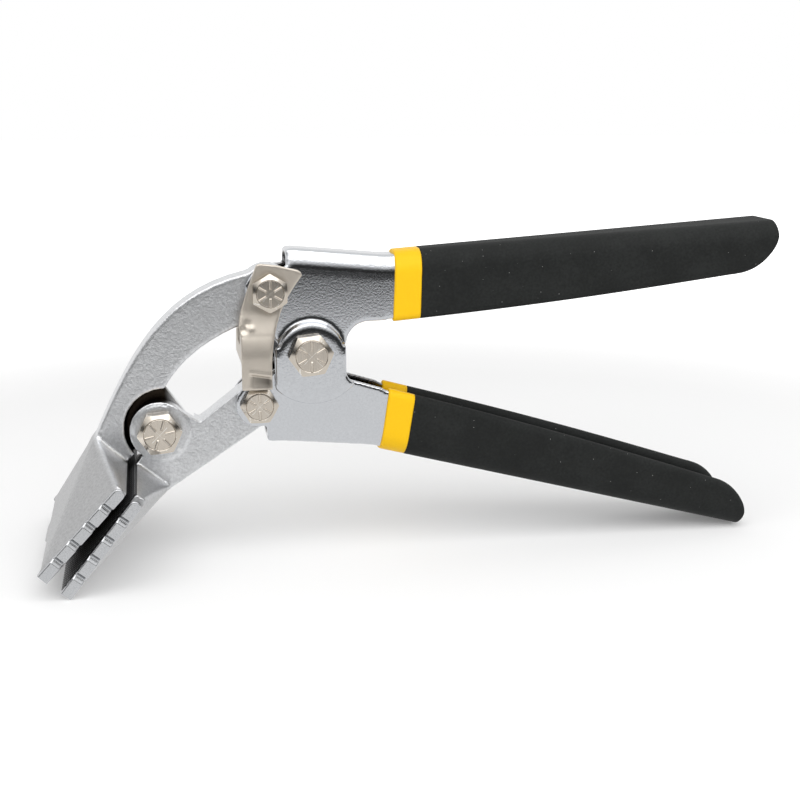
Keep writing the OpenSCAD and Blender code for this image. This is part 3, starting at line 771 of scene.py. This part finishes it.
# Bolts and nuts take painted shade in their hollow corners.
nickel = warm_nickel("warm_nickel", roughness=0.22, metallic=1.0, shade_share=0.8)
for name, bolt in bolts.items():
    low, high = (np.array(corner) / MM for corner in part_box(name + "_bolt"))
    seat = -low[1] - solid_tick - bolt["high"]
    head = bolt_head(name + "_head", bolt, seat)
    shank = bolt_shank(name + "_shank", bolt, -seat - shank_lap, high[1])
    whole = crisp(joined(head, shank))
    whole.data.materials.append(nickel)
    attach(whole, bolt["body"])
    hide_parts(name + "_bolt")

nut_turn = 14
nut_chamfer = math.tan(math.radians(28))
collar_high = 0.35
collar_share = 0.46
collar_roll = 0.9


def lock_nut(name, bolt, seat, tall):
    """Lock nut as rings: hexagon with both rims chamfered, a round collar rolled in at its top, and the
    way back down inside past the insert."""
    angle = np.linspace(0, 2 * math.pi, 180, endpoint=False)
    side = hexagon(angle, bolt["flats"], bolt["turn"] + nut_turn)
    bore = 0.5 * bolt["thick"]
    body = tall - collar_high * bolt["thick"]
    collar = collar_share * bolt["flats"]
    drop = (side - collar) * nut_chamfer
    rolled = [(collar - collar_roll * (1 - math.cos(turn)), tall - collar_roll * (1 - math.sin(turn)))
              for turn in np.radians([30, 60, 90])]
    rings = [(bore + 0.05, 0.6), (bore + 0.4, 0.0), (collar, 0.0), (side, drop), (side, body - drop),
             (collar + 0.1, body), (collar, body + 0.15), (collar, tall - collar_roll), *rolled,
             (bore + 0.5, tall), (bore + 0.42, tall - 0.12), (bore + 0.42, tall - 0.4)]
    radius, height = (np.stack([ring[k] + 0 * angle for ring in rings]) for k in (0, 1))
    return polar_piece(name, radius, height, angle, bolt["at"] + [0, seat, 0], 1)


for name, bolt in bolts.items():
    low, high = (np.array(corner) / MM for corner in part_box(name + "_nut"))
    nut = crisp(lock_nut(name + "_locknut", bolt, low[1], high[1] - low[1]))
    nut.data.materials.append(nickel)
    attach(nut, bolt["body"])
    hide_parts(name + "_nut")

# Nylon inserts, sleeve and opening spring
# The inserts are white nylon rings in the nuts. A turned sleeve on the handle pivot carries a wound
# spring of oiled wire, whose legs lie along the webs and push the handles apart.
coil_radius = 7.0
coil_pitch = 1.9
coil_turns = 3
wire_thick = 1.4
leg_up = 39
leg_down = -42
leg_length = 29.0


def plain_finish(name, dark, light, metallic, roughness, size):
    """Even finish with soft patches between a dark and a light tone, of the given size in mm."""
    material, tree, shader = new_finish(name)
    place = wire(tree, "ShaderNodeTexCoord").outputs["Object"]
    patches = noise(tree, place, scale=1 / (size * MM), detail=3.0)
    connect(tree, shader, {"Base Color": tones(tree, patches, dark, light), "Metallic": metallic,
                           "Roughness": roughness, "Normal": bumps(tree, patches, strength=0.4, deep=0.02)})
    return material


def dress(node, material):
    """Gives its finish to a solid that keeps its shape."""
    frame["nodes"][node].data.materials.clear()
    frame["nodes"][node].data.materials.append(material)


def spring_line():
    """Middle line of the spring: a straight leg, a helix round the handle pivot, and the other leg,
    each leg leaving the helix along its tangent."""
    sweep = 360 * coil_turns + leg_down - leg_up + 180
    turned = np.linspace(0, sweep, 160)
    angle = np.radians(leg_up + 90 + turned)
    helix = np.stack([coil_radius * np.cos(angle), coil_pitch * (turned - sweep / 2) / 360,
                      coil_radius * np.sin(angle)], 1)
    reach = np.linspace(leg_length, 1, 12)[:, None]
    up, down = (np.array([math.cos(math.radians(leg)), 0, math.sin(math.radians(leg))])
                for leg in (leg_up, leg_down))
    return handle_pivot + np.concatenate([helix[0] + reach * up, helix, helix[-1] + reach[::-1] * down])


def tube(name, line, thick):
    """Round tube along a line: at each point a ring square to the line, set by its direction and Y."""
    ahead = np.gradient(line, axis=0)
    ahead /= np.linalg.norm(ahead, axis=1)[:, None]
    side = np.cross(ahead, [0, 1, 0])
    side /= np.linalg.norm(side, axis=1)[:, None]
    over = np.cross(side, ahead)
    turn = np.linspace(0, 2 * math.pi, 14, endpoint=False)
    ring = np.cos(turn)[None, :, None] * side[:, None] + np.sin(turn)[None, :, None] * over[:, None]
    return outward(surface(name, line[:, None] + thick / 2 * ring, closed=True, caps=True))


nylon = plain_finish("nylon", (0.7, 0.7, 0.66), (0.82, 0.82, 0.78), metallic=0.0, roughness=0.5, size=1.0)
sleeve_steel = plain_finish("sleeve_steel", (0.4, 0.4, 0.41), (0.55, 0.55, 0.56), metallic=1.0,
                            roughness=0.35, size=0.6)
spring_wire = plain_finish("spring_wire", (0.1, 0.1, 0.105), (0.24, 0.24, 0.25), metallic=1.0,
                           roughness=0.38, size=0.5)
for name in bolts:
    dress(name + "_insert", nylon)
dress("spring_sleeve", sleeve_steel)
spring = tube("opening_spring_coil", spring_line(), wire_thick)
spring.data.materials.append(spring_wire)
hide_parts("opening_spring")
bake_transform(spring)

# Latch
# A strap folded from one blank of thin sheet, hung on the upper link bolt. It steps outwards below the
# bolt, is joined to its back plate by a narrow web, and is dished at its lower end.
strap_step = (70.5, 64.2)
strap_ease = (74.0, 57.5)
strap_out = 3.5
crease = jaw_pivot + [28.4, 0, 16.4]
crease_lean = 0.18
dish_deep = 0.75
dish_half = 3.4
dish_lip = 0.22
# Share of painted shade in the dish below the crease.
dish_shade = 0.75
dents = {"upper": (25.0, 30.6, 0.9, 0.3), "right": (26.2, 29.4, 0.8, -0.2), "left": (24.0, 29.0, 0.9, 0.45)}


def soften_step(latch):
    """Turns the straight step of the strap into a long S: its sides move by the difference between a
    smooth step, three squares less two cubes of the way, and the straight one, and are then eased."""
    x, y, z = read_points(latch).T
    side = np.sign(y) * ramp(np.abs(y), 5, 9)
    soft = ramp(z, *strap_ease)
    y = y + strap_out * side * (soft * soft * (3 - 2 * soft) - ramp(z, *strap_step))
    write_points(latch, np.stack([x, y, z], 1))
    on_strap = ramp(np.abs(y), 6, 7) * ramp(x - jaw_pivot[0], 23.6, 24.6)
    ease(latch, 20, on_strap * ramp(z, 55.5, 57.5) * ramp(z, 76, 74))


def dish_foot(latch):
    """Presses the dish and the dents into the strap's front: below a leaning crease the sheet drops at
    once and comes back slowly, over a bow across it, with a low lip above; a dent is a bell in depth."""
    x, y, z = read_points(latch).T
    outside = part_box("latch")[0][1] / MM
    front = ramp(y, outside + 0.9, outside + 0.4)
    across = np.clip(1.6 - 1.6 * ((x - crease[0]) / dish_half) ** 2, 0, 1)
    fold = crease[2] - crease_lean * (x - crease[0]) - z
    raised = dish_lip * np.exp(-((fold + 0.5) / 0.5) ** 2)
    hollow = ramp(fold, 0.0, 0.6) * (1 - ramp(fold, 0.6, 4.4)) - raised
    y = y + front * dish_deep * across * hollow
    for dent_x, dent_z, wide, deep in dents.values():
        away = np.hypot(x - jaw_pivot[0] - dent_x, z - jaw_pivot[2] - dent_z) / wide
        y = y + ramp(y, -6.5, -7.5) * deep * np.exp(-away ** 2)
    write_points(latch, np.stack([x, y, z], 1))
    # Painted shade in the hollow below the crease, where the dish turns away from the light.
    under_crease_shade = ramp(x - crease[0], -4, 2) * ramp(fold, 0.5, 0.9) * ramp(fold, 4.2, 2.0)
    mark(latch, "shade_share", dish_shade * front * across * under_crease_shade)


latch = rounded_copy("latch", "latch_strap", voxel=0.24, passes=8)
soften_step(latch)
dish_foot(latch)
latch.data.materials.append(warm_nickel("latch_nickel", roughness=0.36, metallic=0.78, shade_share=0.0))
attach(latch, "latch")
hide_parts("latch")

# Floor, light and camera
# A white table under a broad soft lamp overhead, with weaker ones at both sides and in front, seen from
# a little above and from the jaws' side.
table_reach = 3000.0
table_grey = (0.84, 0.84, 0.84, 1)
white = (1, 1, 1, 1)
soft_step = dict(interpolation_type="SMOOTHSTEP")


def table_white():
    """White table that keeps the object's shadow: plain diffuse near the object, with a glow that only the
    camera sees and that grows with distance. In mirror rays it is a white sheet that ends before the lens."""
    material, tree, shader = new_finish("table_white")
    ray = wire(tree, "ShaderNodeLightPath").outputs
    place = wire(tree, "ShaderNodeNewGeometry").outputs["Position"]
    far = wire(tree, "ShaderNodeVectorMath", {0: place}, operation="LENGTH").outputs["Value"]
    level = span(tree, far, low=0.22, high=0.6, to_low=0.14, **soft_step)
    seen = combine(tree, "MULTIPLY", ray["Is Camera Ray"], level)
    matt = wire(tree, "ShaderNodeBsdfDiffuse", {"Color": table_grey})
    glow = wire(tree, "ShaderNodeEmission", {"Color": white, "Strength": seen})
    both = wire(tree, "ShaderNodeAddShader", {0: matt.outputs[0], 1: glow.outputs[0]})
    ahead = wire(tree, "ShaderNodeSeparateXYZ", {0: place}).outputs["Y"]
    sheet = span(tree, ahead, low=-0.53, high=-0.36, to_low=0.04, to_high=0.9, **soft_step)
    mirrored = wire(tree, "ShaderNodeEmission", {"Color": white, "Strength": sheet})
    sockets = {0: ray["Is Glossy Ray"], 1: both.outputs[0], 2: mirrored.outputs[0]}
    table = wire(tree, "ShaderNodeMixShader", sockets)
    connect(tree, tree.nodes["Material Output"], {"Surface": table.outputs[0]})
    tree.nodes.remove(shader)
    return material


def studio_sky(sky):
    """White room to the camera and even light for matt surfaces. In mirror rays it is white too, with a
    dark band low on the camera's side: the product of three soft steps, up from the horizon, down again
    higher up, and away towards the back."""
    direction = wire(sky, "ShaderNodeTexCoord").outputs["Generated"]
    toward = wire(sky, "ShaderNodeSeparateXYZ", {0: direction}).outputs
    raised = span(sky, toward["Z"], low=-0.05, high=0.0, **soft_step)
    topped = span(sky, toward["Z"], low=0.17, high=0.5, to_low=1.0, to_high=0.0, **soft_step)
    fronted = span(sky, toward["Y"], low=-0.5, high=0.15, to_low=1.0, to_high=0.0, **soft_step)
    dark = combine(sky, "MULTIPLY", combine(sky, "MULTIPLY", raised, topped), fronted)
    shade = span(sky, dark, low=0.0, high=1.0, to_low=0.95, to_high=0.03)
    lights = [wire(sky, "ShaderNodeBackground", {"Color": white, "Strength": strength}).outputs[0]
              for strength in (0.6, shade, 1.0)]
    room, mirrored, backdrop = lights
    ray = wire(sky, "ShaderNodeLightPath").outputs
    around = wire(sky, "ShaderNodeMixShader", {0: ray["Is Glossy Ray"], 1: room, 2: mirrored}).outputs[0]
    seen = wire(sky, "ShaderNodeMixShader", {0: ray["Is Camera Ray"], 1: around, 2: backdrop}).outputs[0]
    connect(sky, sky.nodes["World Output"], {"Surface": seen})


def soft_lamp(name, place, aim, size, power, mirrored):
    """Square soft lamp at a place in mm, turned to a point, its size in mm and its power in watts; a lamp
    that isn't mirrored gives light without showing in polished metal."""
    lamp = bpy.data.lights.new(name, "AREA")
    lamp.size = size * MM
    lamp.energy = power
    stand = bpy.data.objects.new(name, lamp)
    stand.location = np.array(place) * MM
    away = Vector(place) - Vector(aim)
    stand.rotation_euler = away.to_track_quat("Z", "Y").to_euler()
    stand.visible_glossy = mirrored
    bpy.context.scene.collection.objects.link(stand)


ends = np.array([-table_reach, table_reach])
corner_x, corner_y = np.meshgrid(ends, ends)
table = surface("table", np.stack([corner_x, corner_y, 0 * corner_x], -1))
table.data.materials.append(table_white())

world = bpy.data.worlds.new("studio")
world.use_nodes = True
studio_sky(world.node_tree)
bpy.context.scene.world = world
soft_lamp("overhead", (0, -600, 800), (0, -600, 0), size=1200, power=5.6, mirrored=True)
soft_lamp("left_fill", (-900, -500, 350), (0, 0, 40), size=600, power=1.4, mirrored=False)
soft_lamp("right_fill", (900, -400, 400), (0, 0, 40), size=600, power=1.4, mirrored=False)
soft_lamp("front_fill", (0, -1300, 620), (0, 0, 60), size=900, power=2.6, mirrored=False)

camera_at = np.array([jaw_pivot[0] - 1.33, jaw_pivot[1] - 378.53, 132.28])
camera_pitch = 13.191
camera_yaw = 10.643
lens_px = 1347.96
photo_px = 800
film = 36.0
camera = bpy.data.cameras.new("photo_view")
camera.sensor_width = film
camera.lens = lens_px / photo_px * film
camera.clip_start = 0.01
view = bpy.data.objects.new("photo_view", camera)
view.location = camera_at * MM
view.rotation_euler = (math.radians(90 - camera_pitch), 0, math.radians(-camera_yaw))
bpy.context.scene.collection.objects.link(view)
bpy.context.scene.camera = view
bpy.context.scene.view_settings.view_transform = "Standard"
